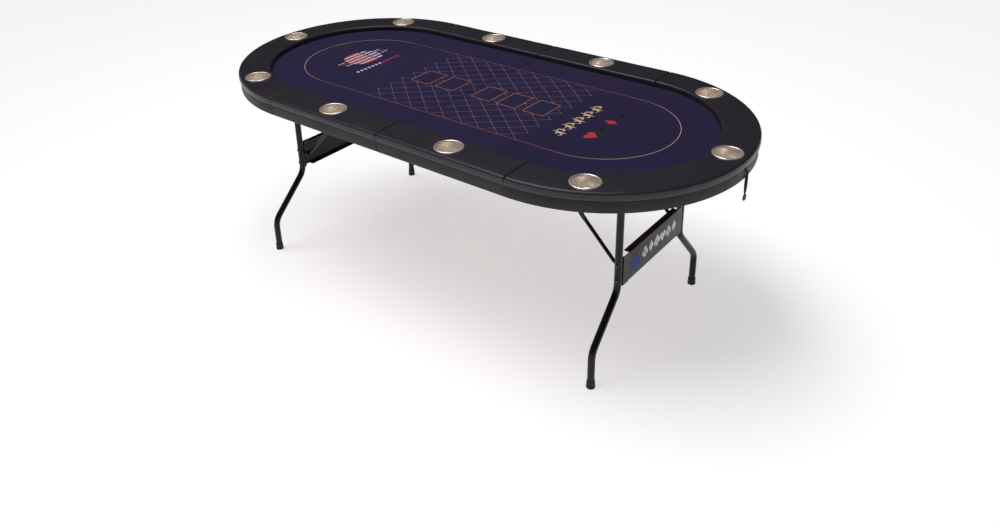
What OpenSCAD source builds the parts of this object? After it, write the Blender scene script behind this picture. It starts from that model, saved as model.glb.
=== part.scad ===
// Folding ten-seat card table with padded rail, felt playfield, cup holders and two folding leg frames.
// Frame: origin on the floor under the middle of the table, +X along the length, +Y across, +Z up.

/* [Overall] */
// Overall length of the top
table_length = 2134; // [1700:1:2600]
// Overall width of the top
table_width = 1067; // [900:1:1300]
// Height of the cup holder rims above the floor
table_height = 787; // [640:1:960]

/* [Top] */
// Height of the rail and side together
side_height = 72; // [60:1:86]
// Height of the padded part of the rail
rail_height = 29; // [24:1:34]
// Width of the padded rail seen from above
rail_width = 127; // [115:1:160]
// Rounding radius of the rail's edges
rail_round = 9; // [4:1:12]
// Gap between neighbouring rail sections
seam_gap = 2; // [1:0.5:4]
// Thickness of the plywood boards
board_thickness = 12; // [9:1:15]
// Thickness of the felt
felt_thickness = 3; // [2:0.5:4]
// Depth of the felt below the top of the rail
felt_drop = 22; // [18:1:26]

/* [Side skirt] */
// Thickness of the skirt band
skirt_thickness = 6; // [4:1:10]
// Setback of the skirt under the rail
skirt_inset = 4; // [0:1:8]
// Width of the strip that wraps under the board
wrap_width = 24; // [18:1:40]
// Thickness of the strip that wraps under the board
wrap_thickness = 1.2; // [0.8:0.1:2]

/* [Cup holders] */
// Inside diameter of a cup holder
cup_inner_d = 84; // [74:1:90]
// Outside diameter of the cup holder's rim
cup_rim_d = 100; // [98:1:106]
// Depth of a cup holder
cup_depth = 46; // [40:1:48]
// Sheet thickness of a cup holder
cup_wall = 1.2; // [0.8:0.1:1.5]
// Distance of the straight-side cups from the middle of the table
cup_straight_x = 267; // [240:1:290]
// Angle of the corner cups from the long axis
cup_corner_angle = 63; // [50:1:65]

/* [Leg frames] */
// Distance of the left leg frame's pivot from the middle of the table
left_leg_x = 755; // [738:1:790]
// Distance of the right leg frame's pivot from the middle of the table
right_leg_x = 760; // [738:1:790]
// Half spacing of the left legs at the top
left_leg_top_y = 245; // [215:1:260]
// Half spacing of the right legs at the top
right_leg_top_y = 220; // [215:1:260]
// Half spacing of the left feet
left_foot_y = 417; // [360:1:430]
// Half spacing of the right feet
right_foot_y = 371; // [360:1:430]
// Outside diameter of a leg tube
tube_d = 25; // [22:1:26]
// Wall thickness of a leg tube
tube_wall = 1.8; // [1.2:0.1:3]
// Height of the leg's upper bend
upper_bend_z = 300; // [260:1:320]
// Height of the leg's lower bend
lower_bend_z = 136; // [110:1:160]
// Centre-line radius of the leg bends
bend_r = 70; // [50:1:90]
// Depth of the leg pivot below the top's underside
pivot_depth = 18; // [17:0.5:22]
// Diameter of the leg pivot pin
leg_pin_d = 10; // [8:1:12]
// Diameter of the rubber foot
foot_d = 31; // [28:1:34]
// Height of the rubber foot
foot_height = 30; // [24:1:40]

/* [Crossbar] */
// Height of the crossbar's middle above the floor
crossbar_z = 371; // [350:1:400]
// Height of the crossbar channel
crossbar_height = 112; // [90:1:120]
// Depth of the crossbar channel
crossbar_depth = 22; // [18:1:24]
// Sheet thickness of the crossbar
crossbar_sheet = 2; // [1.5:0.5:3]
// Distance between the two bolts on each end
crossbar_bolt_pitch = 57; // [50:1:70]

/* [Braces] */
// Distance along the underside from the leg pivot to the brace pivot
brace_reach = 350; // [340:1:360]
// Diameter of the lower brace rod
brace_rod_d = 13; // [10:1:14]
// Width of the upper brace bar
brace_bar_w = 17; // [14:1:18]
// Thickness of the upper brace bar
brace_bar_t = 5; // [4:0.5:6]
// Diameter of the brace pivot pins
brace_pin_d = 8; // [6:1:8]

/* [Centre hinges] */
// Half distance between the two pins of a centre hinge
hinge_pin_x = 26; // [24:1:32]
// Depth of the hinge pins below the underside
hinge_pin_depth = 10; // [10:0.5:14]
// Diameter of a centre hinge pin
hinge_pin_d = 8; // [6:1:8]
// Distance of the outer centre hinges from the middle
hinge_y = 290; // [250:1:310]

/* [Tie strap] */
// Width of the strap
strap_width = 10; // [8:1:14]
// Thickness of the strap
strap_thickness = 2.4; // [2:0.2:4]

/* [Hidden] */
$fn = 64;

LEFT = -1;
RIGHT = 1;
eps = 0.5;
running_gap = 0.05;       // radial clearance of a pin that turns
side_gap = 0.6;           // clearance between parts that slide past each other
rim_thickness = 1.5;      // cup holder rim above the rail

// Levels of the top, from the underside up
underside_z = table_height - side_height;
board_z = underside_z + wrap_thickness;
board_top = board_z + board_thickness;
rail_top = table_height - rim_thickness;
rail_z = rail_top - rail_height;
felt_top = rail_top - felt_drop;
felt_z = felt_top - felt_thickness;

// Plan sizes of the top
end_r = table_width / 2;
seam_x = table_length / 2 - end_r;
skirt_r = end_r - skirt_inset;
board_r = skirt_r - skirt_thickness;
core_r = board_r - 1;
rail_inner_r = end_r - rail_width;
cup_r = end_r - rail_width / 2 - 3;
cup_hole_d = cup_inner_d + 2 * cup_wall + 1;

// Leg pivots and braces
pivot_z = underside_z - pivot_depth;
brace_drop = pivot_z - crossbar_z;
brace_span = norm([brace_reach, brace_drop]);
upper_brace = (brace_span + brace_reach - brace_drop) / 2;
lower_brace = brace_span - upper_brace;
brace_angle = atan(brace_drop / brace_reach);
plate_t = 2.5;
plate_z = board_z - plate_t;
ear_t = 2.5;
leg_top_z = pivot_z + 8;
flange_inset = tube_d / 2 + crossbar_sheet;
nut_t = 5;
foot_floor = 6;           // rubber under the tube's end
leg_gap = tube_d + 3;
weld = 0.01;              // hair line between the straight and the bent lengths of a leg
bar_gap = brace_bar_t + 2 * side_gap;
brace_offset = flange_inset + nut_t + 1 + brace_rod_d / 2;
eye_t = 5;
eye_r = 9;
bar_offset = brace_offset + brace_rod_d / 2 + 3 * side_gap + brace_bar_t / 2;

function leg_x(side) = side == LEFT ? left_leg_x : right_leg_x;
function leg_top_y(side) = side == LEFT ? left_leg_top_y : right_leg_top_y;
function foot_y(side) = side == LEFT ? left_foot_y : right_foot_y;

// Centre hinge
pin_z = underside_z - hinge_pin_depth;
hinge_ear_t = 3;
hinge_ear_y = 7;
link_t = 3;
link_y = hinge_ear_y + hinge_ear_t + side_gap;
hinge_places = [-hinge_y, 0, hinge_y];
leaf_start = 3;
leaf_length = 64;
leaf_width = 50;

// Joining plates and screws under the boards
join_y = 330;
join_length = 120;
join_width = 30;
screw_r = 4;
screw_head = 1.6;

// Tie strap: it leaves the anchor at the right-hand tip and hangs straight down
tip_x = table_length / 2 - skirt_inset;
anchor_z = underside_z + 30;
anchor_t = 3;
sunk = 1;                 // how far the anchor and the button go into the skirt
strap_x = tip_x + anchor_t + strap_thickness / 2;
ring_z = underside_z - 66;
ring_r = 9;
ring_wire = 2.5;
button_z = underside_z + 34;
button_head_d = 12;
strap_end_z = ring_z + ring_r + ring_wire;
strap_steps = 8;
strap_route = [for (i = [0:strap_steps])
    [strap_x, 0, anchor_z + (strap_end_z - anchor_z) * i / strap_steps]];

// ---- shared shapes ----

// Puts the children on the left or the right half; they are drawn for the right half
module half(side) {
    if (side == LEFT) mirror([1, 0, 0]) children();
    else children();
}

// Half disc at the end of the table, of radius r
module end_disc(r, z, h) {
    translate([seam_x, 0, z]) rotate_extrude(angle = 180, start = -90) square([r, h]);
}

// Straight block from one seam to the next
module middle_block(r, z, h) {
    translate([seam_gap / 2, -r, z]) cube([seam_x - seam_gap / 2, 2 * r, h]);
}

// Cross-section of the padded rail: x is the distance outwards, y the height
module rail_profile() {
    r = rail_round;
    union() {
        translate([rail_inner_r + r, rail_z]) square([rail_width - 2 * r, rail_height]);
        translate([rail_inner_r, rail_z + 2]) square([rail_width, rail_height - r - 2]);
        for (x = [rail_inner_r + r, end_r - r]) translate([x, rail_top - r]) circle(r = r);
        translate([rail_inner_r, board_top]) square([core_r - rail_inner_r, rail_z - board_top + 4]);
    }
}

// Plan positions of the five cup holders of a half: front, front corner, end, back corner, back
function cup_places() = [[cup_straight_x, -cup_r],
    for (a = [-cup_corner_angle, 0, cup_corner_angle]) [seam_x + cup_r * cos(a), cup_r * sin(a)],
    [cup_straight_x, cup_r]];

module cup_holes() {
    for (p = cup_places())
        translate([p[0], p[1], board_top + eps]) cylinder(d = cup_hole_d, h = side_height);
}

module cup_holder(side, i) {
    p = cup_places()[i];
    outer_r = cup_inner_d / 2 + cup_wall;
    base_z = table_height - cup_depth;
    color([0.78, 0.74, 0.70]) half(side) translate([p[0], p[1], 0]) difference() {
        union() {
            translate([0, 0, base_z]) cylinder(r = outer_r, h = cup_depth);
            translate([0, 0, rail_top]) cylinder(d = cup_rim_d, h = rim_thickness);
        }
        translate([0, 0, base_z + cup_wall]) cylinder(d = cup_inner_d, h = cup_depth);
    }
}

// ---- top ----

module end_board(side) {
    color([0.45, 0.20, 0.09]) half(side) end_disc(board_r, board_z, board_thickness);
}

module middle_board(side) {
    color([0.45, 0.20, 0.09]) half(side) middle_block(board_r, board_z, board_thickness);
}

module end_skirt(side) {
    color([0.08, 0.08, 0.09]) half(side) translate([seam_x, 0, 0])
        rotate_extrude(angle = 180, start = -90) union() {
            translate([board_r, underside_z]) square([skirt_thickness, rail_z - underside_z]);
            translate([skirt_r - wrap_width, underside_z]) square([wrap_width, wrap_thickness]);
        }
}

module side_skirts(side) {
    color([0.08, 0.08, 0.09]) half(side) for (m = [0, 1]) mirror([0, m, 0])
        translate([seam_gap / 2, 0, 0]) union() {
            translate([0, board_r, underside_z])
                cube([seam_x - seam_gap, skirt_thickness, rail_z - underside_z]);
            translate([0, skirt_r - wrap_width, underside_z])
                cube([seam_x - seam_gap, wrap_width, wrap_thickness]);
        }
}

module end_rail(side) {
    color([0.07, 0.07, 0.08]) half(side) difference() {
        translate([seam_x, 0, 0]) rotate_extrude(angle = 180, start = -90) rail_profile();
        cup_holes();
    }
}

// Straight rail section; m = 0 is the front one (-Y), m = 1 the back one
module straight_rail(side, m) {
    color([0.07, 0.07, 0.08]) half(side) mirror([0, m, 0]) difference() {
        translate([seam_gap / 2, 0, 0]) rotate([90, 0, 90])
            linear_extrude(seam_x - 1.5 * seam_gap) mirror([1, 0]) rail_profile();
        cup_holes();
    }
}

module playfield_pads(side) {
    color([0.30, 0.30, 0.32]) half(side) union() {
        end_disc(rail_inner_r - 1, board_top, felt_z - board_top);
        translate([seam_gap / 2, -(rail_inner_r - 1), board_top])
            cube([seam_x - seam_gap / 2, 2 * (rail_inner_r - 1), felt_z - board_top]);
    }
}

module end_felt(side) {
    color([0.13, 0.11, 0.22]) half(side) end_disc(rail_inner_r - 1, felt_z, felt_thickness);
}

module middle_felt(side) {
    color([0.13, 0.11, 0.22]) half(side) middle_block(rail_inner_r - 1, felt_z, felt_thickness);
}

// ---- hardware under the top ----

// Steel strips that join the end board to the middle board
module joining_plates(side) {
    color([0.15, 0.15, 0.16]) half(side) for (y = [-join_y, 0, join_y])
        translate([seam_x - join_length / 2, y - join_width / 2, plate_z])
            cube([join_length, join_width, plate_t]);
}

// Leaf of a centre hinge: a plate under the board with two ears that hold a pin
module hinge_leaf() {
    difference() {
        union() {
            translate([leaf_start, -leaf_width / 2, plate_z]) cube([leaf_length, leaf_width, plate_t]);
            for (m = [0, 1]) mirror([0, m, 0]) translate([hinge_pin_x, hinge_ear_y, 0]) {
                translate([-8, 0, pin_z]) cube([16, hinge_ear_t, plate_z - pin_z + eps]);
                translate([0, 0, pin_z]) rotate([-90, 0, 0]) cylinder(r = 8, h = hinge_ear_t);
            }
        }
        translate([hinge_pin_x, -30, pin_z]) rotate([-90, 0, 0])
            cylinder(d = hinge_pin_d + 2 * running_gap, h = 60);
    }
}

module hinge_leaves(side) {
    color([0.12, 0.12, 0.13]) half(side) for (y = hinge_places) translate([0, y, 0]) hinge_leaf();
}

// Bars that join the two pins of each centre hinge
module centre_hinge_links() {
    color([0.16, 0.16, 0.17]) for (y = hinge_places, m = [0, 1])
        translate([0, y, 0]) mirror([0, m, 0]) translate([0, link_y, pin_z]) difference() {
            union() {
                translate([-hinge_pin_x, 0, -7]) cube([2 * hinge_pin_x, link_t, 14]);
                for (s = [LEFT, RIGHT]) translate([s * hinge_pin_x, 0, 0])
                    rotate([-90, 0, 0]) cylinder(r = 7, h = link_t);
            }
            for (s = [LEFT, RIGHT]) translate([s * hinge_pin_x, -1, 0])
                rotate([-90, 0, 0]) cylinder(d = hinge_pin_d, h = link_t + 2);
        }
}

module centre_hinge_pins() {
    length = 2 * (link_y + link_t);
    color([0.55, 0.55, 0.57]) for (y = hinge_places, s = [LEFT, RIGHT])
        translate([s * hinge_pin_x, y - length / 2, pin_z]) rotate([-90, 0, 0]) {
            cylinder(d = hinge_pin_d, h = length);
            for (z = [-2, length]) translate([0, 0, z]) cylinder(d = hinge_pin_d + 4, h = 2);
        }
}

// U bracket under the board: inner_gap is the space between its ears, pin_d the pin it holds
module u_bracket(inner_gap, pin_d, length, ear_r) {
    outer = inner_gap / 2 + ear_t;
    difference() {
        union() {
            translate([-length / 2, -outer - 12, plate_z]) cube([length, 2 * outer + 24, plate_t]);
            for (m = [0, 1]) mirror([0, m, 0]) translate([0, inner_gap / 2, 0]) {
                translate([-ear_r, 0, pivot_z]) cube([2 * ear_r, ear_t, plate_z - pivot_z + eps]);
                translate([0, 0, pivot_z]) rotate([-90, 0, 0]) cylinder(r = ear_r, h = ear_t);
            }
        }
        translate([0, -outer - 1, pivot_z]) rotate([-90, 0, 0]) cylinder(d = pin_d, h = 2 * outer + 2);
    }
}

module leg_brackets(side) {
    color([0.10, 0.10, 0.11]) half(side) for (m = [0, 1]) mirror([0, m, 0]) {
        translate([leg_x(side), leg_top_y(side), 0]) u_bracket(leg_gap, leg_pin_d, 70, 11);
        translate([leg_x(side) - brace_reach, leg_top_y(side) - bar_offset, 0])
            u_bracket(bar_gap, brace_pin_d, 44, 9);
    }
}

module pivot_pin(d, length) {
    rotate([-90, 0, 0]) {
        translate([0, 0, -length / 2]) cylinder(d = d, h = length);
        for (s = [-1, 1]) translate([0, 0, s * (length / 2 + 1) - 1]) cylinder(d = d + 5, h = 2);
    }
}

module pivot_pins(side) {
    color([0.55, 0.55, 0.57]) half(side) for (m = [0, 1]) mirror([0, m, 0]) {
        translate([leg_x(side), leg_top_y(side), pivot_z]) pivot_pin(leg_pin_d, leg_gap + 2 * ear_t);
        translate([leg_x(side) - brace_reach, leg_top_y(side) - bar_offset, pivot_z])
            pivot_pin(brace_pin_d, bar_gap + 2 * ear_t);
    }
}

// One round-headed wood screw, its head under a plate
module screw() {
    translate([0, 0, plate_z - screw_head]) cylinder(r = screw_r, h = screw_head);
}

module screws(side) {
    color([0.60, 0.60, 0.62]) half(side) {
        for (y = [-join_y, 0, join_y], x = [-45, -20, 20, 45]) translate([seam_x + x, y, 0]) screw();
        for (y = hinge_places, x = [48, 60], s = [-1, 1])
            translate([x, y + s * leaf_width / 3, 0]) screw();
        for (m = [0, 1], x = [-28, 28], s = [-1, 1]) mirror([0, m, 0])
            translate([leg_x(side) + x, leg_top_y(side) + s * (leg_gap / 2 + 8), 0]) screw();
        for (m = [0, 1], x = [-16, 16], s = [-1, 1]) mirror([0, m, 0])
            translate([leg_x(side) - brace_reach + x,
                leg_top_y(side) - bar_offset + s * (bar_gap / 2 + 8), 0]) screw();
    }
}

// ---- leg frame ----

module tube_section() {
    difference() {
        circle(d = tube_d);
        circle(d = tube_d - 2 * tube_wall);
    }
}

// Bend that starts straight down at the origin and leans outwards (+Y)
module leg_bend(lean) {
    translate([0, bend_r, 0]) rotate([0, 90, 0]) rotate([0, 0, -90])
        rotate_extrude(angle = lean) translate([bend_r, 0]) tube_section();
}

// One leg in the YZ plane: straight, bend, slope, bend, straight
module leg(side) {
    dy = foot_y(side) - leg_top_y(side);
    dz = upper_bend_z - lower_bend_z;
    lean = atan(dy / dz);
    tangent = bend_r * tan(lean / 2);
    slope = norm([dy, dz]);
    upper_z = upper_bend_z + tangent;
    lower_z = lower_bend_z - tangent;
    difference() {
        translate([0, 0, upper_z + weld]) linear_extrude(leg_top_z - upper_z - weld) tube_section();
        translate([0, -tube_d, pivot_z]) rotate([-90, 0, 0])
            cylinder(d = leg_pin_d + 2 * running_gap, h = 2 * tube_d);
    }
    translate([0, 0, upper_z]) leg_bend(lean);
    translate([0, 0, upper_bend_z]) rotate([180 + lean, 0, 0]) translate([0, 0, tangent + weld])
        linear_extrude(slope - 2 * tangent - 2 * weld) tube_section();
    translate([0, dy, lower_z]) rotate([180, 0, 0]) leg_bend(lean);
    translate([0, dy, foot_floor]) linear_extrude(lower_z - foot_floor - weld) tube_section();
}

module leg_tubes(side) {
    color([0.09, 0.09, 0.10]) half(side) for (m = [0, 1]) mirror([0, m, 0])
        translate([leg_x(side), leg_top_y(side), 0]) leg(side);
}

// Channel between the legs: web on the outer side, lips and end flanges turned inwards
module crossbar(side) {
    web_x = max(tube_d / 2 - crossbar_sheet, eye_r + side_gap);
    half_w = leg_top_y(side) - tube_d / 2;
    lip_w = half_w - (bar_offset - tube_d / 2) - brace_bar_t - 6;
    low = crossbar_z - crossbar_height / 2;
    color([0.10, 0.10, 0.11]) half(side) translate([leg_x(side), 0, 0]) union() {
        translate([web_x, -half_w, low]) cube([crossbar_sheet, 2 * half_w, crossbar_height]);
        for (z = [low, low + crossbar_height - crossbar_sheet])
            translate([web_x - crossbar_depth + crossbar_sheet, -lip_w, z])
                cube([crossbar_depth, 2 * lip_w, crossbar_sheet]);
        for (m = [0, 1]) mirror([0, m, 0])
            translate([web_x - crossbar_depth + crossbar_sheet, half_w - crossbar_sheet, low])
                cube([crossbar_depth, crossbar_sheet, crossbar_height]);
    }
}

// Bolts through leg and end flange, and the stud that the lower brace turns on
module frame_bolts(side) {
    stud_end = brace_offset + eye_t / 2 + 2;
    color([0.20, 0.20, 0.21]) half(side) for (m = [0, 1]) mirror([0, m, 0])
        translate([leg_x(side), leg_top_y(side), 0]) {
            for (s = [-1, 1]) translate([0, 0, crossbar_z + s * crossbar_bolt_pitch / 2]) {
                translate([0, tube_d / 2, 0]) rotate([-90, 0, 0]) cylinder(r1 = 7, r2 = 4.5, h = 4);
                translate([0, -flange_inset - nut_t, 0]) rotate([-90, 0, 0])
                    cylinder(r = 6.5, h = nut_t, $fn = 6);
            }
            translate([0, -stud_end, crossbar_z]) rotate([-90, 0, 0]) {
                cylinder(d = brace_pin_d, h = stud_end - flange_inset);
                cylinder(d = brace_pin_d + 6, h = 2 - running_gap);
                translate([0, 0, 2 + eye_t + running_gap])
                    cylinder(d = brace_pin_d + 4, h = stud_end - flange_inset - 2 - eye_t - running_gap);
            }
        }
}

// Rubber cap over the tube's lower end
module feet(side) {
    color([0.05, 0.05, 0.05]) half(side) for (m = [0, 1]) mirror([0, m, 0])
        translate([leg_x(side), foot_y(side), 0]) difference() {
            union() {
                cylinder(d = foot_d - 2, h = foot_height);
                cylinder(d = foot_d, h = 10);
            }
            translate([0, 0, foot_floor]) cylinder(d = tube_d, h = foot_height);
        }
}

// ---- braces ----

// Flat eye with a hole, thickness t, centred on its own plane
module brace_eye(r, hole_d, t) {
    rotate([-90, 0, 0]) translate([0, 0, -t / 2]) difference() {
        cylinder(r = r, h = t);
        translate([0, 0, -1]) cylinder(d = hole_d, h = t + 2);
    }
}

// Lower brace: a rod with flattened ends, from the leg stud up to the knee
module lower_braces(side) {
    color([0.10, 0.10, 0.11]) half(side) for (m = [0, 1]) mirror([0, m, 0])
        translate([leg_x(side), leg_top_y(side) - brace_offset, crossbar_z])
            rotate([0, brace_angle, 0]) union() {
                brace_eye(eye_r, brace_pin_d + 2 * running_gap, eye_t);
                translate([-lower_brace, 0, 0]) brace_eye(eye_r, brace_pin_d, eye_t);
                translate([-36, -eye_t / 2, -6]) cube([29, eye_t, 12]);
                translate([-lower_brace + 7, -eye_t / 2, -6]) cube([29, eye_t, 12]);
                translate([-lower_brace + 24, 0, 0]) rotate([0, 90, 0])
                    cylinder(d = brace_rod_d, h = lower_brace - 48);
            }
}

// Upper brace: a flat bar from the pivot under the board out to the knee, with its rivet head
module upper_braces(side) {
    w = brace_bar_w;
    color([0.10, 0.10, 0.11]) half(side) for (m = [0, 1]) mirror([0, m, 0])
        translate([leg_x(side) - brace_reach, leg_top_y(side) - bar_offset, pivot_z])
            rotate([0, brace_angle, 0]) difference() {
                union() {
                    translate([0, -brace_bar_t / 2, -w / 2]) cube([upper_brace, brace_bar_t, w]);
                    for (x = [0, upper_brace]) translate([x, -brace_bar_t / 2, 0]) rotate([-90, 0, 0])
                        cylinder(d = w, h = brace_bar_t);
                    translate([upper_brace, -brace_bar_t / 2 - 3, 0]) rotate([-90, 0, 0])
                        cylinder(r = 6, h = 3);
                }
                translate([0, -brace_bar_t, 0]) rotate([-90, 0, 0])
                    cylinder(d = brace_pin_d + 2 * running_gap, h = 2 * brace_bar_t);
            }
}

// ---- tie strap ----

module strap_anchor() {
    color([0.05, 0.05, 0.05]) translate([tip_x - sunk, 0, anchor_z]) rotate([0, 90, 0])
        cylinder(d = 16, h = anchor_t + sunk);
}

// Ring of eight points round one point of the route: a flat oval across Y
function strap_section(p) = [for (a = [0:45:315])
    [p[0] + strap_thickness / 2 * cos(a), p[1] + strap_width / 2 * sin(a), p[2]]];

module tie_strap() {
    n = len(strap_route);
    points = [for (i = [0:n - 1]) each strap_section(strap_route[i])];
    sides = [for (i = [0:n - 2], k = [0:7]) let (k2 = (k + 1) % 8)
        [i * 8 + k, i * 8 + k2, (i + 1) * 8 + k2, (i + 1) * 8 + k]];
    caps = [[for (k = [7:-1:0]) k], [for (k = [0:7]) (n - 1) * 8 + k]];
    color([0.04, 0.04, 0.04]) polyhedron(points = points, faces = concat(sides, caps));
}

module strap_ring() {
    color([0.05, 0.05, 0.05]) translate([strap_x, 0, ring_z]) rotate([0, 90, 0])
        rotate_extrude() translate([ring_r, 0]) circle(r = ring_wire, $fn = 24);
}

// Button on the left-hand tip that the ring hooks over when the table is folded
module strap_button() {
    color([0.05, 0.05, 0.05]) translate([sunk - tip_x, 0, button_z]) rotate([0, -90, 0]) {
        cylinder(d = 7, h = 6);
        translate([0, 0, 5]) cylinder(d = button_head_d, h = 3);
    }
}

// ---- assembly ----

end_board(LEFT);  // left_end_board
middle_board(LEFT);  // left_middle_board
end_skirt(LEFT);  // left_end_skirt
side_skirts(LEFT);  // left_side_skirts
end_rail(LEFT);  // left_end_rail
straight_rail(LEFT, 0);  // left_front_rail
straight_rail(LEFT, 1);  // left_back_rail
playfield_pads(LEFT);  // left_playfield_pads
end_felt(LEFT);  // left_end_felt
middle_felt(LEFT);  // left_middle_felt
cup_holder(LEFT, 0);  // left_cup_front
cup_holder(LEFT, 1);  // left_cup_front_corner
cup_holder(LEFT, 2);  // left_cup_end
cup_holder(LEFT, 3);  // left_cup_back_corner
cup_holder(LEFT, 4);  // left_cup_back
joining_plates(LEFT);  // left_joining_plates
hinge_leaves(LEFT);  // left_hinge_leaves
leg_brackets(LEFT);  // left_leg_brackets
pivot_pins(LEFT);  // left_pivot_pins
screws(LEFT);  // left_screws
leg_tubes(LEFT);  // left_leg_tubes
crossbar(LEFT);  // left_crossbar
frame_bolts(LEFT);  // left_frame_bolts
feet(LEFT);  // left_feet
lower_braces(LEFT);  // left_lower_braces
upper_braces(LEFT);  // left_upper_braces
end_board(RIGHT);  // right_end_board
middle_board(RIGHT);  // right_middle_board
end_skirt(RIGHT);  // right_end_skirt
side_skirts(RIGHT);  // right_side_skirts
end_rail(RIGHT);  // right_end_rail
straight_rail(RIGHT, 0);  // right_front_rail
straight_rail(RIGHT, 1);  // right_back_rail
playfield_pads(RIGHT);  // right_playfield_pads
end_felt(RIGHT);  // right_end_felt
middle_felt(RIGHT);  // right_middle_felt
cup_holder(RIGHT, 0);  // right_cup_front
cup_holder(RIGHT, 1);  // right_cup_front_corner
cup_holder(RIGHT, 2);  // right_cup_end
cup_holder(RIGHT, 3);  // right_cup_back_corner
cup_holder(RIGHT, 4);  // right_cup_back
joining_plates(RIGHT);  // right_joining_plates
hinge_leaves(RIGHT);  // right_hinge_leaves
leg_brackets(RIGHT);  // right_leg_brackets
pivot_pins(RIGHT);  // right_pivot_pins
screws(RIGHT);  // right_screws
leg_tubes(RIGHT);  // right_leg_tubes
crossbar(RIGHT);  // right_crossbar
frame_bolts(RIGHT);  // right_frame_bolts
feet(RIGHT);  // right_feet
lower_braces(RIGHT);  // right_lower_braces
upper_braces(RIGHT);  // right_upper_braces
centre_hinge_links();
centre_hinge_pins();
strap_anchor();
tie_strap();
strap_ring();
strap_button();
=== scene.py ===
"""Folding card table: oval top in two halves, padded rail, steel cup holders, printed felt, two folding leg frames."""

import math

import bpy
from mathutils import Matrix, Vector, noise


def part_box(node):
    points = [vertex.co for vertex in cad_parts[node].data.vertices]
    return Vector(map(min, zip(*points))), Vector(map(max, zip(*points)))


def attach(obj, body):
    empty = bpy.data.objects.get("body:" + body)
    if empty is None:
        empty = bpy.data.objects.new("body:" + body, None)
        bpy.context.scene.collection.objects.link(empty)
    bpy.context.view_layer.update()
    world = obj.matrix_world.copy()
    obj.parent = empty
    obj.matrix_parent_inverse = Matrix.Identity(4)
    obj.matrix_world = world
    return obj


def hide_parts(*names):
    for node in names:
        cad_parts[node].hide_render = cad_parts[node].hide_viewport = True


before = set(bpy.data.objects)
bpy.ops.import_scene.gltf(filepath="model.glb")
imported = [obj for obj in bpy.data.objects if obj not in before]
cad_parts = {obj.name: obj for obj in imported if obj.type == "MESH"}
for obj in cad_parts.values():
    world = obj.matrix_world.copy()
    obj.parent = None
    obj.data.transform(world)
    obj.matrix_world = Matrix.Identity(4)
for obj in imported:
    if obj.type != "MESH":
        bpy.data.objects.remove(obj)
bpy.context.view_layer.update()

# ---- Camera, light and floor: a pale studio floor under soft white light, with the table seen from the
# front right-hand corner at standing height.
VIEW_TURN = math.radians(39.17)
VIEW_TILT = math.radians(24.57)
VIEW_ROLL = math.radians(-1.68)
VIEW_DISTANCE = 3.383
VIEW_TARGET = Vector((0, 0, 0.6))

back = Vector((math.sin(VIEW_TURN) * math.cos(VIEW_TILT), -math.cos(VIEW_TURN) * math.cos(VIEW_TILT),
               math.sin(VIEW_TILT)))
level = Vector((0, 0, 1)).cross(back).normalized()
upright = back.cross(level)
right_axis = math.cos(VIEW_ROLL) * level + math.sin(VIEW_ROLL) * upright
up_axis = math.cos(VIEW_ROLL) * upright - math.sin(VIEW_ROLL) * level
bpy.ops.object.camera_add()
camera = bpy.context.object
camera.name = "camera"
camera.matrix_world = (Matrix.Translation(VIEW_TARGET + VIEW_DISTANCE * back)
                       @ Matrix((right_axis, up_axis, back)).transposed().to_4x4())
camera.data.sensor_width = 36
camera.data.lens = 31.86
camera.data.shift_x = 0.0241
camera.data.shift_y = -0.1337
bpy.context.scene.camera = camera

world = bpy.data.worlds.new("studio")
bpy.context.scene.world = world
world.use_nodes = True
nodes, link = world.node_tree.nodes, world.node_tree.links.new
sky_way = nodes.new("ShaderNodeTexCoord")
height = nodes.new("ShaderNodeSeparateXYZ")
ceiling = nodes.new("ShaderNodeMapRange")
ceiling.inputs["From Min"].default_value = 0.38
ceiling.inputs["From Max"].default_value = 0.95
ceiling.inputs["To Min"].default_value = 0.30
ceiling.inputs["To Max"].default_value = 1.38
link(sky_way.outputs["Generated"], height.inputs["Vector"])
link(height.outputs["Z"], ceiling.inputs["Value"])
link(ceiling.outputs["Result"], nodes["Background"].inputs["Strength"])
bpy.context.scene.view_settings.view_transform = "Standard"


def soft_box(name, place, aim, size, power):
    bpy.ops.object.light_add(type="AREA", location=place)
    lamp = bpy.context.object
    lamp.name = name
    lamp.data.shape = "RECTANGLE"
    lamp.data.size, lamp.data.size_y = size
    lamp.data.energy = power
    lamp.rotation_euler = (Vector(place) - Vector(aim)).to_track_quat("Z", "Y").to_euler()


soft_box("overhead", (-0.2, -0.2, 3.8), (0, 0, 0.7), (3.6, 1.2), 45)
bpy.ops.object.light_add(type="SUN", location=(-3, -3, 6))
sun = bpy.context.object
sun.name = "window"
sun.data.energy = 1.05
sun.data.angle = math.radians(38)
sun.rotation_euler = Vector((-0.40, -0.30, 1.0)).to_track_quat("Z", "Y").to_euler()


def pick(*objects):
    """Out of edit mode, with only these objects selected and the first one active."""
    if bpy.context.object and bpy.context.object.mode != "OBJECT":
        bpy.ops.object.mode_set(mode="OBJECT")
    bpy.ops.object.select_all(action="DESELECT")
    for obj in objects:
        obj.select_set(True)
    if objects:
        bpy.context.view_layer.objects.active = objects[0]


def linear(red, green, blue):
    """A colour as painters' charts give it, 0 to 255, in the shader's own scale."""
    return tuple((c / 255 / 12.92 if c < 10.3 else ((c / 255 + 0.055) / 1.055) ** 2.4)
                 for c in (red, green, blue)) + (1,)


def group_of(name, inputs, outputs):
    group = bpy.data.node_groups.new(name, "ShaderNodeTree")
    for socket, value in inputs:
        made = group.interface.new_socket(socket, in_out="INPUT", socket_type="NodeSocketFloat")
        made.default_value = value
    for socket in outputs:
        group.interface.new_socket(socket, in_out="OUTPUT", socket_type="NodeSocketFloat")
    return group, group.nodes.new("NodeGroupInput"), group.nodes.new("NodeGroupOutput")


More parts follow.
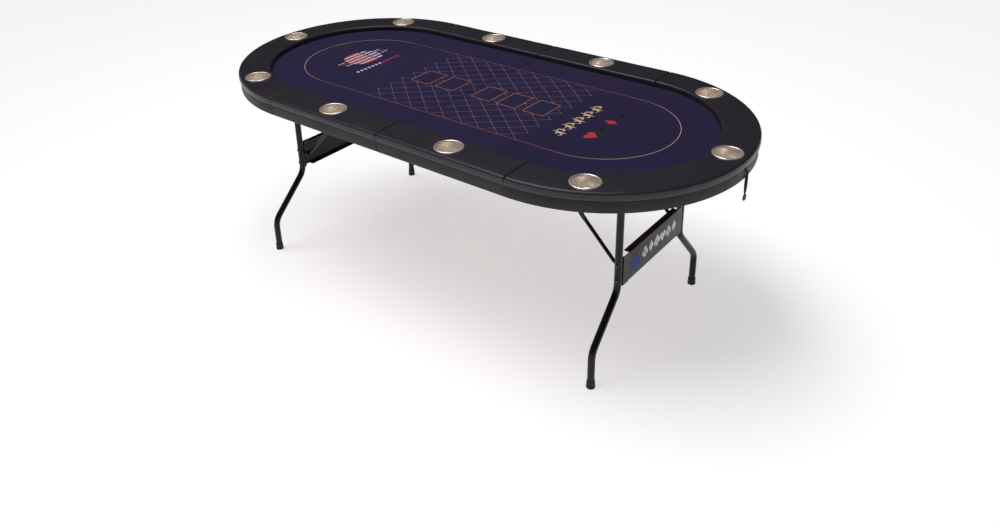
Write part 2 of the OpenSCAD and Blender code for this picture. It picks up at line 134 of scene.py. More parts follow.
# Grain: cells of a given size, as on leather, moulded plastic and powder paint, over slow drifts of tone
grain_group, grain_in, grain_out = group_of(
    "grain", [("Size", 500.0), ("Drift", 6.0)], ["Height", "Tone", "Fine"])
nodes, link = grain_group.nodes, grain_group.links.new
place = nodes.new("ShaderNodeTexCoord")
cells = nodes.new("ShaderNodeTexVoronoi")
cells.feature = "SMOOTH_F1"
fibres = nodes.new("ShaderNodeTexNoise")
fibres.inputs["Detail"].default_value = 3
drift = nodes.new("ShaderNodeTexNoise")
drift.inputs["Detail"].default_value = 4
for texture, socket in ((cells, "Size"), (fibres, "Size"), (drift, "Drift")):
    link(place.outputs["Object"], texture.inputs["Vector"])
    link(grain_in.outputs[socket], texture.inputs["Scale"])
relief = nodes.new("ShaderNodeMath")
relief.operation = "MULTIPLY_ADD"
link(cells.outputs["Distance"], relief.inputs[0])
relief.inputs[1].default_value = 0.6
link(fibres.outputs["Fac"], relief.inputs[2])
link(relief.outputs[0], grain_out.inputs["Height"])
link(drift.outputs["Fac"], grain_out.inputs["Tone"])
link(fibres.outputs["Fac"], grain_out.inputs["Fine"])

# Handling: smudges and dust that make one part of a surface a little rougher than the next
handled_group, handled_in, handled_out = group_of(
    "handling", [("Size", 9.0), ("Smooth", 0.3), ("Rough", 0.5)], ["Roughness"])
nodes, link = handled_group.nodes, handled_group.links.new
place = nodes.new("ShaderNodeTexCoord")
smudge = nodes.new("ShaderNodeTexNoise")
smudge.inputs["Detail"].default_value = 5
smudge.inputs["Roughness"].default_value = 0.62
spread = nodes.new("ShaderNodeMapRange")
spread.inputs["From Min"].default_value = 0.33
spread.inputs["From Max"].default_value = 0.68
link(place.outputs["Object"], smudge.inputs["Vector"])
link(handled_in.outputs["Size"], smudge.inputs["Scale"])
link(smudge.outputs["Fac"], spread.inputs["Value"])
link(handled_in.outputs["Smooth"], spread.inputs["To Min"])
link(handled_in.outputs["Rough"], spread.inputs["To Max"])
link(spread.outputs["Result"], handled_out.inputs["Roughness"])

# Rubbed edges: a mask that is 1 where a corner sticks out and has been touched most
rubbed_group, rubbed_in, rubbed_out = group_of("rubbed_edges", [("Start", 0.53), ("Full", 0.62)], ["Mask"])
nodes, link = rubbed_group.nodes, rubbed_group.links.new
corner = nodes.new("ShaderNodeNewGeometry")
rub = nodes.new("ShaderNodeMapRange")
link(corner.outputs["Pointiness"], rub.inputs["Value"])
link(rubbed_in.outputs["Start"], rub.inputs["From Min"])
link(rubbed_in.outputs["Full"], rub.inputs["From Max"])
link(rub.outputs["Result"], rubbed_out.inputs["Mask"])


def finish(name, deep, pale, smooth, rough, grain, relief, metal=0.0, worn=None, drift=6.0, **sockets):
    """A material: two close tones, handled roughness, raised grain, and a third tone where edges are rubbed."""
    made = bpy.data.materials.new(name)
    made.use_nodes = True
    nodes, link = made.node_tree.nodes, made.node_tree.links.new
    shader = nodes["Principled BSDF"]
    shader.inputs["Metallic"].default_value = metal
    for socket, value in sockets.items():
        shader.inputs[socket.replace("_", " ")].default_value = value
    surface = nodes.new("ShaderNodeGroup")
    surface.node_tree = grain_group
    surface.inputs["Size"].default_value = grain
    surface.inputs["Drift"].default_value = drift
    handled = nodes.new("ShaderNodeGroup")
    handled.node_tree = handled_group
    handled.inputs["Smooth"].default_value = smooth
    handled.inputs["Rough"].default_value = rough
    link(handled.outputs["Roughness"], shader.inputs["Roughness"])
    tone = nodes.new("ShaderNodeMix")
    tone.name = "tone"
    tone.data_type = "RGBA"
    tone.inputs["A"].default_value = deep
    tone.inputs["B"].default_value = pale
    link(surface.outputs["Tone"], tone.inputs["Factor"])
    colour = tone.outputs["Result"]
    if worn:
        rubbed = nodes.new("ShaderNodeGroup")
        rubbed.node_tree = rubbed_group
        edge = nodes.new("ShaderNodeMix")
        edge.data_type = "RGBA"
        edge.inputs["B"].default_value = worn
        link(rubbed.outputs["Mask"], edge.inputs["Factor"])
        link(colour, edge.inputs["A"])
        colour = edge.outputs["Result"]
    link(colour, shader.inputs["Base Color"])
    bump = nodes.new("ShaderNodeBump")
    bump.name = "bump"
    bump.inputs["Strength"].default_value = relief
    bump.inputs["Distance"].default_value = 0.0006
    link(surface.outputs["Height"], bump.inputs["Height"])
    link(bump.outputs["Normal"], shader.inputs["Normal"])
    return made


bpy.ops.mesh.primitive_grid_add(x_subdivisions=8, y_subdivisions=8, size=60, location=(0, 0, 0))
floor = bpy.context.object
floor.name = "studio_floor"
floor.data.materials.append(finish("studio_floor", linear(232, 232, 232), linear(234, 234, 233), 0.75, 0.85,
                                   3.0, 0.0, Emission_Color=(1, 1, 1, 1), Emission_Strength=0.60))

# ---- Sizes of the top, in metres. The levels come from the frame, so that the pieces meet it.
SIDES = {"left": -1, "right": 1}
END_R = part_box("right_end_rail")[1].y
RAIL_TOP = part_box("right_end_rail")[1].z
RAIL_INNER_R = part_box("right_end_felt")[1].y + 0.001
RAIL_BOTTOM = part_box("right_end_skirt")[1].z
FELT_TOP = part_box("right_end_felt")[1].z
FELT_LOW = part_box("right_end_felt")[0].z
BOARD_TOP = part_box("right_end_board")[1].z
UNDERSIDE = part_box("right_end_skirt")[0].z
SEAM_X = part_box("right_end_felt")[0].x
SKIRT_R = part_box("right_end_skirt")[1].y
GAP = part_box("right_middle_felt")[0].x


def wear_it(obj, material, body, nodes=(), smooth=38):
    """Last steps of a piece: shading, material, body and the frame nodes that it stands for."""
    pick(obj)
    bpy.ops.object.transform_apply(location=True, rotation=True, scale=True)
    bpy.ops.object.shade_smooth_by_angle(angle=math.radians(smooth))
    obj.data.materials.clear()
    obj.data.materials.append(material)
    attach(obj, body)
    if nodes:
        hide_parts(*nodes)
    return obj


def coat(material, *names):
    """Gives frame nodes a material."""
    for name in names:
        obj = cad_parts[name]
        obj.data.materials.clear()
        obj.data.materials.append(material)


def new_mesh(name, points, faces, edges=()):
    mesh = bpy.data.meshes.new(name)
    mesh.from_pydata(points, list(edges), faces)
    obj = bpy.data.objects.new(name, mesh)
    bpy.context.collection.objects.link(obj)
    pick(obj)
    bpy.ops.object.mode_set(mode="EDIT")
    bpy.ops.mesh.select_all(action="SELECT")
    return obj


# ---- Boards: two plywood panels to a half, faced below with a wood-pattern film. They are cut to shape
# and screwed together through the joining plates.
wood = finish("wood_film", linear(84, 36, 20), linear(132, 66, 38), 0.32, 0.46, 900, 0.05, Coat_Weight=0.15)
nodes, link = wood.node_tree.nodes, wood.node_tree.links.new
place = nodes.new("ShaderNodeTexCoord")
stretch = nodes.new("ShaderNodeMapping")
stretch.inputs["Scale"].default_value = (1.6, 22.0, 4.0)
rings = nodes.new("ShaderNodeTexNoise")
rings.inputs["Scale"].default_value = 3.2
rings.inputs["Detail"].default_value = 7
rings.inputs["Roughness"].default_value = 0.66
rings.inputs["Distortion"].default_value = 1.2
streaks = nodes.new("ShaderNodeMapRange")
streaks.inputs["From Min"].default_value = 0.36
streaks.inputs["From Max"].default_value = 0.64
link(place.outputs["Object"], stretch.inputs["Vector"])
link(stretch.outputs["Vector"], rings.inputs["Vector"])
link(rings.outputs["Fac"], streaks.inputs["Value"])
link(streaks.outputs["Result"], nodes["tone"].inputs["Factor"])
for side in SIDES:
    coat(wood, f"{side}_end_board", f"{side}_middle_board")

# ---- Side skirts: a band of thin black vinyl-covered board round the edge, wrapped under the boards.
# The wrap is stapled and leaves a flat black border round the wood.
SKIRT_T = 0.006
WRAP = 0.024
WRAP_T = 0.0012
skirt_vinyl = finish("skirt_vinyl", linear(27, 26, 29), linear(36, 35, 39), 0.42, 0.56, 700, 0.16,
                     worn=linear(50, 50, 54), drift=3.0, Specular_IOR_Level=0.35)


def loft(name, rings):
    """A solid through closed rings of points, one after the other, with both ends shut."""
    count = len(rings[0])
    faces = [(i * count + k, i * count + (k + 1) % count, (i + 1) * count + (k + 1) % count, (i + 1) * count + k)
             for i in range(len(rings) - 1) for k in range(count)]
    faces += [tuple(range(count)), tuple((len(rings) - 1) * count + k for k in range(count))]
    obj = new_mesh(name, [p for ring in rings for p in ring], faces)
    bpy.ops.mesh.normals_make_consistent(inside=False)
    bpy.ops.object.mode_set(mode="OBJECT")
    return obj


def arc(centre, radius, start, stop, count):
    """Points on an arc, with angles in degrees."""
    turns = [math.radians(start + (stop - start) * i / (count - 1)) for i in range(count)]
    return [(centre[0] + radius * math.cos(t), centre[1] + radius * math.sin(t)) for t in turns]


skirt_shape = ([(SKIRT_R - WRAP, UNDERSIDE), (SKIRT_R - 0.004, UNDERSIDE)]
               + arc((SKIRT_R - 0.003, UNDERSIDE + 0.003), 0.003, -80, 0, 7)
               + [(SKIRT_R, UNDERSIDE + 0.012), (SKIRT_R, RAIL_BOTTOM - 0.003), (SKIRT_R - 0.001, RAIL_BOTTOM),
                  (SKIRT_R - SKIRT_T, RAIL_BOTTOM), (SKIRT_R - SKIRT_T, UNDERSIDE + WRAP_T),
                  (SKIRT_R - WRAP, UNDERSIDE + WRAP_T)])
END_STEPS = 220
for side, way in SIDES.items():
    turns = [math.radians(-90 + 180 * i / END_STEPS) for i in range(END_STEPS + 1)]
    skirt = loft(f"{side}_end_skirt_cover",
                 [[(way * (SEAM_X + d * math.cos(t)), d * math.sin(t), z) for d, z in skirt_shape] for t in turns])
    wear_it(skirt, skirt_vinyl, f"{side}_half", [f"{side}_end_skirt"])
    strips = []
    for edge, across in (("front", -1), ("back", 1)):
        ends = [GAP, GAP + 0.0008, SEAM_X - 0.0018, SEAM_X - 0.001]
        tucks = [0.0008, 0, 0, 0.0008]
        strips.append(loft(f"{side}_{edge}_skirt",
                           [[(way * x, across * (d - tuck * (d > SKIRT_R - 0.002)), z) for d, z in skirt_shape]
                            for x, tuck in zip(ends, tucks)]))
    pick(*strips)
    bpy.ops.object.join()
    strips[0].name = f"{side}_side_skirt_covers"
    wear_it(strips[0], skirt_vinyl, f"{side}_half", [f"{side}_side_skirts"])
    border = loft(f"{side}_fold_edge_wrap",
                  [[(way * x, y, z) for x, z in ((GAP, UNDERSIDE), (GAP + WRAP, UNDERSIDE),
                                                 (GAP + WRAP, UNDERSIDE + WRAP_T), (GAP, UNDERSIDE + WRAP_T))]
                   for y in (0.0005 + WRAP - SKIRT_R, SKIRT_R - WRAP - 0.0005)])
    wear_it(border, skirt_vinyl, f"{side}_half")

# ---- Padded rail: foam under black synthetic leather, in one curved and two straight sections to a half.
# The cover is pulled tight over the foam, tucked in at the seams and pinched under each cup holder.
rail_leather = finish("rail_leather", linear(43, 40, 47), linear(54, 51, 58), 0.31, 0.41, 620, 0.16,
                      worn=linear(56, 55, 61), drift=4.0, Specular_IOR_Level=0.36)
RAIL_MIDDLE = (END_R + RAIL_INNER_R) / 2
RAIL_HALF = (END_R - RAIL_INNER_R) / 2
ROUND_OUT = 0.0095
ROUND_IN = 0.0085
CROWN = 0.0016
TUCK = 0.0035
CUP_OUTER = 0.050
CUP_HOLE_R = 0.0445
RAIL_STEP = 0.0055


def crown_at(d):
    return RAIL_TOP - CROWN * abs((d - RAIL_MIDDLE) / RAIL_HALF) ** 2.6


crown_in = RAIL_INNER_R + ROUND_IN
crown_out = END_R - ROUND_OUT
rail_shape = ([(RAIL_INNER_R + 0.0015, RAIL_BOTTOM), (RAIL_INNER_R + 0.0002, RAIL_BOTTOM + 0.006),
               (RAIL_INNER_R, RAIL_BOTTOM + 0.012)]
              + arc((crown_in, crown_at(crown_in) - ROUND_IN), ROUND_IN, 180, 96, 9)
              + [(crown_in + (crown_out - crown_in) * i / 23, crown_at(crown_in + (crown_out - crown_in) * i / 23))
                 for i in range(24)]
              + arc((crown_out, crown_at(crown_out) - ROUND_OUT), ROUND_OUT, 84, 0, 10)
              + [(END_R + 0.0004, RAIL_BOTTOM + 0.011), (END_R, RAIL_BOTTOM + 0.005),
                 (END_R - 0.0008, RAIL_BOTTOM + 0.0016), (END_R - 0.003, RAIL_BOTTOM + 0.0001),
                 (RAIL_MIDDLE, RAIL_BOTTOM)])
CUP_PLACES = {}
for side, way in SIDES.items():
    for spot in ("front", "front_corner", "end", "back_corner", "back"):
        low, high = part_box(f"{side}_cup_{spot}")
        CUP_PLACES[f"{side}_cup_{spot}"] = ((low.x + high.x) / 2, (low.y + high.y) / 2)


def pulled(x, y, z, loose):
    """Where a point of the cover settles: pinched round the cups, and a little uneven along the foam."""
    drop = 0.00035 * noise.noise(Vector((x * 9, y * 9, z * 4))) * loose
    for cup_x, cup_y in CUP_PLACES.values():
        reach = math.hypot(x - cup_x, y - cup_y)
        if reach < 0.075:
            turn = math.atan2(y - cup_y, x - cup_x)
            pinch = math.exp(-max(reach - CUP_OUTER, 0) / 0.0045)
            pucker = math.exp(-max(reach - CUP_OUTER, 0) / 0.009) * (reach > 0.046)
            drop -= loose * (0.0016 * pinch + 0.00022 * pucker * math.sin(17 * turn + 2 * math.sin(3 * turn)))
    return z + drop


def rail(name, side, stations, node, cups):
    """One rail section. stations lists (distance from the nearer end, function that turns d into x, y)."""
    rings = []
    for from_end, spot in stations:
        tuck = TUCK * max(0.0, 1 - from_end / 0.005) ** 2.2
        ring = []
        for d, z in rail_shape:
            d = RAIL_MIDDLE + (d - RAIL_MIDDLE) * (1 - tuck * 0.6 / RAIL_HALF)
            loose = max(0.0, min(1.0, (z - RAIL_BOTTOM - 0.008) / 0.016))
            x, y = spot(d)
            ring.append((x, y, pulled(x, y, z, loose) - tuck * loose))
        rings.append(ring)
    piece = loft(name, rings)
    for cup in cups:
        x, y = CUP_PLACES[cup]
        bpy.ops.mesh.primitive_cylinder_add(vertices=96, radius=CUP_HOLE_R, depth=0.12,
                                            location=(x, y, RAIL_BOTTOM))
        cutter = bpy.context.object
        hole = piece.modifiers.new("cup_hole", "BOOLEAN")
        hole.operation = "DIFFERENCE"
        hole.solver = "EXACT"
        hole.object = cutter
        pick(piece)
        bpy.ops.object.modifier_apply(modifier="cup_hole")
        pick(cutter)
        bpy.ops.object.delete()
    wear_it(piece, rail_leather, f"{side}_half", [node], smooth=45)


def steps_between(start, stop, pitch):
    """Distances from start to stop, close together at both ends where the cover tucks in."""
    near = [0, 0.0006, 0.0013, 0.0022, 0.0034, 0.005]
    inner = max(2, round((stop - start - 0.01) / pitch))
    return ([start + n for n in near] + [start + 0.005 + (stop - start - 0.01) * i / inner for i in range(1, inner)]
            + [stop - n for n in reversed(near)])


for side, way in SIDES.items():
    length = math.pi * RAIL_MIDDLE
    stations = []
    for s in steps_between(0, length, RAIL_STEP):
        turn = s / RAIL_MIDDLE - math.pi / 2
        stations.append((min(s, length - s), lambda d, t=turn: (way * (SEAM_X + d * math.cos(t)), d * math.sin(t))))
    rail(f"{side}_end_rail_cover", side, stations, f"{side}_end_rail",
         [f"{side}_cup_front_corner", f"{side}_cup_end", f"{side}_cup_back_corner"])
    for edge, across in (("front", -1), ("back", 1)):
        low, high = GAP, SEAM_X - GAP
        stations = [(min(x - low, high - x), lambda d, x=x: (way * x, across * d))
                    for x in steps_between(low, high, RAIL_STEP)]
        rail(f"{side}_{edge}_rail_cover", side, stations, f"{side}_{edge}_rail", [f"{side}_cup_{edge}"])

# ---- Cup holders: drawn from one sheet of stainless steel each, with a wide rolled lip that sits on the
# leather. A ring is pressed into the floor of the cup.
cup_steel = finish("cup_steel", linear(244, 232, 222), linear(250, 241, 233), 0.28, 0.35, 1400, 0.0, metal=0.72,
                   drift=3.0)
CUP_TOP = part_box("right_cup_end")[1].z
CUP_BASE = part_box("right_cup_end")[0].z


def turned(name, shape, centre, steps=96):
    """A shape of (radius, height) points spun about an upright line through centre."""
    obj = new_mesh(name, [(centre[0] + r, centre[1], z) for r, z in shape], [],
                   [(i, i + 1) for i in range(len(shape) - 1)])
    bpy.ops.mesh.spin(steps=steps, angle=2 * math.pi, center=(centre[0], centre[1], 0), axis=(0, 0, 1))
    bpy.ops.mesh.select_all(action="SELECT")
    bpy.ops.mesh.remove_doubles(threshold=0.000005)
    bpy.ops.mesh.normals_make_consistent(inside=False)
    bpy.ops.object.mode_set(mode="OBJECT")
    return obj


cup_shape = ([(0, CUP_BASE + 0.0014), (0.020, CUP_BASE + 0.0014), (0.0212, CUP_BASE + 0.0020),
              (0.0228, CUP_BASE + 0.0020), (0.0240, CUP_BASE + 0.0014), (0.0360, CUP_BASE + 0.0013)]
             + arc((0.0360, CUP_BASE + 0.0073), 0.006, -75, -8, 6)
             + [(0.0420, CUP_BASE + 0.012), (0.0420, CUP_BASE + 0.026), (0.0420, CUP_TOP - 0.0056)]
             + arc((0.0461, CUP_TOP - 0.0040), 0.0040, 172, 8, 15)
             + [(0.0500, CUP_TOP - 0.0044), (0.0494, CUP_TOP - 0.0050), (0.0487, CUP_TOP - 0.0042),
                (0.0462, CUP_TOP - 0.0014), (0.0440, CUP_TOP - 0.0030), (0.0432, CUP_TOP - 0.0060),
                (0.0432, CUP_BASE + 0.007), (0.0415, CUP_BASE + 0.002), (0.0385, CUP_BASE), (0, CUP_BASE)])
for cup, (x, y) in CUP_PLACES.items():
    wear_it(turned(f"{cup}_drawn", cup_shape, (x, y)), cup_steel, f"{cup.split('_')[0]}_half", [cup], 50)

# ---- Playfield: foam pads on the boards under panels of speed cloth, one panel to each board.
# The cloth turns over the edge of each panel, which leaves a fine crease where two of them meet.
foam = finish("foam_pad", linear(70, 70, 74), linear(88, 88, 92), 0.85, 0.95, 900, 0.4)
felt = finish("felt", linear(41, 34, 66), linear(48, 41, 76), 0.88, 0.97, 1500, 0.35, drift=2.2,
              Specular_IOR_Level=0.15, Sheen_Weight=0.03, Sheen_Roughness=0.5)
fibre = felt.node_tree.nodes["bump"]
fibre.inputs["Distance"].default_value = 0.0003


def slab(name, outlines, low, thick, edge=0.0, spot=lambda a, b, c: (a, b, c)):
    """Flat solids: each outline is a closed run of (a, b) points, raised by thick along the third direction."""
    points, faces = [], []
    for outline in outlines:
        faces.append(tuple(range(len(points), len(points) + len(outline))))
        points += [(a, b, low) for a, b in outline]
    obj = new_mesh(name, points, faces)
    bpy.ops.mesh.extrude_region_move(TRANSFORM_OT_translate={"value": (0, 0, thick)})
    bpy.ops.mesh.select_all(action="SELECT")
    bpy.ops.mesh.normals_make_consistent(inside=False)
    bpy.ops.object.mode_set(mode="OBJECT")
    if edge:
        rounded = obj.modifiers.new("edge", "BEVEL")
        rounded.width = edge
        rounded.segments = 3
        rounded.limit_method = "ANGLE"
        rounded.angle_limit = math.radians(50)
        bpy.ops.object.modifier_apply(modifier="edge")
    if spot(1, 2, 3) != (1, 2, 3):
        for vertex in obj.data.vertices:
            vertex.co = spot(*vertex.co)
        bpy.ops.object.mode_set(mode="EDIT")
        bpy.ops.mesh.select_all(action="SELECT")
        bpy.ops.mesh.normals_make_consistent(inside=False)
        bpy.ops.object.mode_set(mode="OBJECT")
    return obj


FELT_R = RAIL_INNER_R - 0.001
FELT_EDGE = 0.0006
for side, way in SIDES.items():
    end_line = [(way * x, y) for x, y in arc((SEAM_X + 0.0004, 0), FELT_R, -90, 90, 181)]
    panel = slab(f"{side}_end_cloth", [end_line], FELT_LOW, FELT_TOP - FELT_LOW, FELT_EDGE)
    wear_it(panel, felt, f"{side}_half", [f"{side}_end_felt"])
    near, far = way * GAP, way * (SEAM_X - 0.0004)
    panel = slab(f"{side}_middle_cloth", [[(near, -FELT_R), (far, -FELT_R), (far, FELT_R), (near, FELT_R)]],
                 FELT_LOW, FELT_TOP - FELT_LOW, FELT_EDGE)
    wear_it(panel, felt, f"{side}_half", [f"{side}_middle_felt"])
    outline = [(near, -FELT_R)] + [(way * x, y) for x, y in arc((SEAM_X, 0), FELT_R, -90, 90, 121)] + [(near, FELT_R)]
    pad = slab(f"{side}_foam_pad", [outline], BOARD_TOP, FELT_LOW - BOARD_TOP, 0.0015)
    wear_it(pad, foam, f"{side}_half", [f"{side}_playfield_pads"])

# ---- Print on the cloth: a diamond lattice with five card boxes, a race line, card suits, stars, a row of
# scrolls and a striped roundel. The ink lies on the cloth, and stops at the fold.
INK_Z = FELT_TOP + 0.00008
INK = 0.00014


def ink(name, colour, deep=0.82):
    dim = tuple(c * deep for c in colour[:3]) + (1,)
    return finish(name, dim, colour, 0.78, 0.9, 1500, 0.25, drift=60)


def band(line, widths, closed=False):
    """Four-sided pieces that follow a line, as wide as widths says at each point."""
    count = len(line)
    if not hasattr(widths, "__len__"):
        widths = [widths] * count
    left, right = [], []
    for i, (x, y) in enumerate(line):
        before = line[i - 1] if closed or i else line[i]
        after = line[(i + 1) % count] if closed or i < count - 1 else line[i]
        dx, dy = after[0] - before[0], after[1] - before[1]
        size = math.hypot(dx, dy) or 1
        nx, ny = -dy / size * widths[i] / 2, dx / size * widths[i] / 2
        left.append((x + nx, y + ny))
        right.append((x - nx, y - ny))
    return [[left[i], left[(i + 1) % count], right[(i + 1) % count], right[i]]
            for i in range(count if closed else count - 1)]


def printed(name, outlines, material):
    """Ink of one colour on both halves, cut at the fold."""
    for side, way in SIDES.items():
        mine = [o for o in outlines if max(way * x for x, y in o) > GAP + 0.001]
        if not mine:
            continue
        piece = slab(f"{side}_{name}", mine, INK_Z, INK)
        if min(way * x for o in mine for x, y in o) < GAP + 0.001:
            bpy.ops.object.mode_set(mode="EDIT")
            bpy.ops.mesh.select_all(action="SELECT")
            bpy.ops.mesh.bisect(plane_co=(way * (GAP + 0.001), 0, 0), plane_no=(way, 0, 0), use_fill=True,
                                clear_inner=True)
            bpy.ops.object.mode_set(mode="OBJECT")
        wear_it(piece, material, f"{side}_half", smooth=20)


LATTICE_X = -0.308
LATTICE_Y = -0.266
PITCH_X = 0.077
PITCH_Y = 0.0665
LATTICE_EDGE = 0.2664
LATTICE_LINE = 0.0011
BOXES = [(-0.267, -0.182), (-0.148, -0.062), (0.028, 0.112), (0.145, 0.228), (0.262, 0.347)]
BOX_LOW, BOX_HIGH = -0.058, 0.057
lattice, dots = [], []


def clear_of_boxes(x, y):
    return not any(low < x < high and BOX_LOW < y < BOX_HIGH for low, high in BOXES)


for i in range(9):
    for j in range(9):
        x, y = LATTICE_X + (i + 0.5) * PITCH_X, LATTICE_Y + j * PITCH_Y
        tips = [(x - PITCH_X / 2, y), (x, y + PITCH_Y / 2), (x + PITCH_X / 2, y), (x, y - PITCH_Y / 2)]
        for k in range(4):
            (ax, ay), (bx, by) = tips[k], tips[(k + 1) % 4]
            cuts = [(ax + (bx - ax) * s / 8, ay + (by - ay) * s / 8) for s in range(9)]
            run = []
            for spot in cuts + [None]:
                if spot and abs(spot[1]) < LATTICE_EDGE and clear_of_boxes(*spot):
                    run.append(spot)
                    continue
                if len(run) > 1:
                    lattice += band([run[0], run[-1]], LATTICE_LINE)
                run = []
        for tip in tips:
            if (abs(tip[1]) < LATTICE_EDGE and clear_of_boxes(*tip)
                    and all(math.dist(tip, dot) > 0.001 for dot in dots)):
                dots.append(tip)
printed("lattice_print", lattice, ink("lattice_ink", linear(158, 122, 140)))
printed("lattice_dot_print", [arc(dot, 0.0023, 0, 315, 8) for dot in dots],
        ink("dot_ink", linear(214, 178, 176)))

race_ink = ink("race_ink", linear(205, 160, 140))
nodes, link = race_ink.node_tree.nodes, race_ink.node_tree.links.new
place = nodes.new("ShaderNodeTexCoord")
along = nodes.new("ShaderNodeSeparateXYZ")
far_out = nodes.new("ShaderNodeMath")
far_out.operation = "ABSOLUTE"
fade = nodes.new("ShaderNodeMapRange")
fade.inputs["From Min"].default_value = 0.5
fade.inputs["From Max"].default_value = 0.72
link(place.outputs["Object"], along.inputs["Vector"])
link(along.outputs["X"], far_out.inputs[0])
link(far_out.outputs[0], fade.inputs["Value"])
link(fade.outputs["Result"], nodes["tone"].inputs["Factor"])
nodes["tone"].inputs["A"].default_value = linear(158, 90, 86)
nodes["tone"].inputs["B"].default_value = linear(216, 178, 156)
RACE_X = 0.547
RACE_R = 0.266
race = ([(x / 40 * RACE_X, -RACE_R) for x in range(-40, 40)] + arc((RACE_X, 0), RACE_R, -90, 90, 73)[:-1]
        + [(-x / 40 * RACE_X, RACE_R) for x in range(-40, 40)] + arc((-RACE_X, 0), RACE_R, 90, 270, 73)[:-1])
printed("race_line_print", band(race, 0.0021, closed=True), race_ink)

boxes = []
for low, high in BOXES:
    line = []
    for centre, start in (((high - 0.003, BOX_LOW + 0.003), -90), ((high - 0.003, BOX_HIGH - 0.003), 0),
                          ((low + 0.003, BOX_HIGH - 0.003), 90), ((low + 0.003, BOX_LOW + 0.003), 180)):
        line += arc(centre, 0.003, start, start + 90, 4)
    boxes += band(line, 0.0022, closed=True)
printed("card_box_print", boxes, ink("box_ink", linear(214, 134, 84)))


def suit(kind, x, y, size):
    """Outlines of a card suit, upright as read from the +X end, where down is +X."""
    if kind == "diamond":
        shapes = [[(0, -0.62), (0.42, 0), (0, 0.62), (-0.42, 0)]]
    elif kind == "star":
        shapes = [[((0.55 if k % 2 == 0 else 0.22) * math.sin(k * math.pi / 5),
                    -(0.55 if k % 2 == 0 else 0.22) * math.cos(k * math.pi / 5)) for k in range(10)]]
    elif kind == "club":
        shapes = [arc(spot, 0.26, 0, 345, 24) for spot in ((0, -0.26), (-0.27, 0.12), (0.27, 0.12))]
        shapes += [[(-0.05, -0.1), (0.05, -0.1), (0.2, 0.58), (-0.2, 0.58)]]
    else:
        heart = [(0.56 * math.sin(t) ** 3, -(0.46 * math.cos(t) - 0.18 * math.cos(2 * t) - 0.07 * math.cos(3 * t)
                                             - 0.03 * math.cos(4 * t)))
                 for t in (2 * math.pi * (k + 0.5) / 48 for k in range(48))]
        shapes = [heart]
        if kind == "spade":
            shapes = [[(a, -b - 0.08) for a, b in heart], [(-0.05, 0), (0.05, 0), (0.2, 0.56), (-0.2, 0.56)]]
    return [[(x + b * size, y + a * size) for a, b in shape] for shape in shapes]


printed("red_suit_print", suit("heart", 0.568, -0.098, 0.046) + suit("diamond", 0.568, 0.033, 0.040),
        ink("red_ink", linear(214, 52, 44)))
printed("black_suit_print", suit("spade", 0.568, -0.034, 0.042) + suit("club", 0.568, 0.099, 0.040)
        + suit("star", 0.463, -0.199, 0.046) + suit("star", 0.466, 0.194, 0.046),
        ink("black_ink", linear(13, 12, 17)))

scrolls = []
for k in range(5):
    middle = -0.0165 + (k - 2) * 0.0585
    for turn in (-1, 1):
        curl = [(0.4685 + (0.0035 + 0.0165 * s / 23) * math.cos(-0.9 + 5.2 * s / 23) * turn,
                 middle + turn * 0.0140 + (0.0030 + 0.0100 * s / 23) * math.sin(-0.9 + 5.2 * s / 23))
                for s in range(24)]
        scrolls += band(curl, [0.0014 + 0.0052 * math.sin(math.pi * s / 23) for s in range(24)])
    leaf = [(0.4685 + 0.029 * math.cos(t), middle + 0.0036 * math.sin(t) * abs(math.sin(t)))
            for t in (2 * math.pi * (s + 0.5) / 24 for s in range(24))]
    scrolls.append(leaf)
    scrolls.append([(x + 0.4685, y + middle + 0.0268) for x, y in
                    ((0, -0.0042), (0.0075, 0), (0, 0.0042), (-0.0075, 0))])
printed("scroll_print", scrolls, ink("cream_ink", linear(236, 204, 164)))

ROUNDEL = (-0.602, 0.014)
stripes = {"red": [], "white": [], "blue": []}
for k in range(11):
    low, high = -0.066 + k * 0.012, -0.066 + k * 0.012 + 0.0095
    for part, colours in (((-0.1, 0.026), ("red", "white")), ((0.031, 0.1), ("blue", "white"))):
        ends = []
        for x in (low, (low + high) / 2, high):
            reach = 0.080 * max(0.0, 1 - abs(x / 0.070) ** 2.4) ** 0.5
            ends.append((x, max(part[0], -reach), min(part[1], reach)))
        if all(a < b - 0.004 for x, a, b in ends):
            stripes[colours[k % 2]].append([(ROUNDEL[0] + x, ROUNDEL[1] + a) for x, a, b in ends]
                                           + [(ROUNDEL[0] + x, ROUNDEL[1] + b) for x, a, b in reversed(ends)])
for k in range(12):
    y = -0.118 + k * 0.0205
    stripes["white" if k < 7 else "red"].append([(-0.498, y - 0.0075), (-0.4885, y), (-0.498, y + 0.0075),
                                                (-0.5075, y)])
for turn in (-1, 1):
    for k, colour in enumerate(("white", "red", "white")):
        y = ROUNDEL[1] + turn * (0.094 + 0.006 * k)
        x = ROUNDEL[0] + turn * 0.018 * (k - 1)
        stripes[colour].append([(x - 0.0025, y - 0.018), (x + 0.0025, y - 0.018), (x + 0.0025, y + 0.018),
                                (x - 0.0025, y + 0.018)])
for colour, tint in (("red", (204, 66, 66)), ("white", (228, 214, 222)), ("blue", (76, 78, 168))):
    printed(f"roundel_{colour}_print", stripes[colour], ink(f"roundel_{colour}_ink", linear(*tint)))

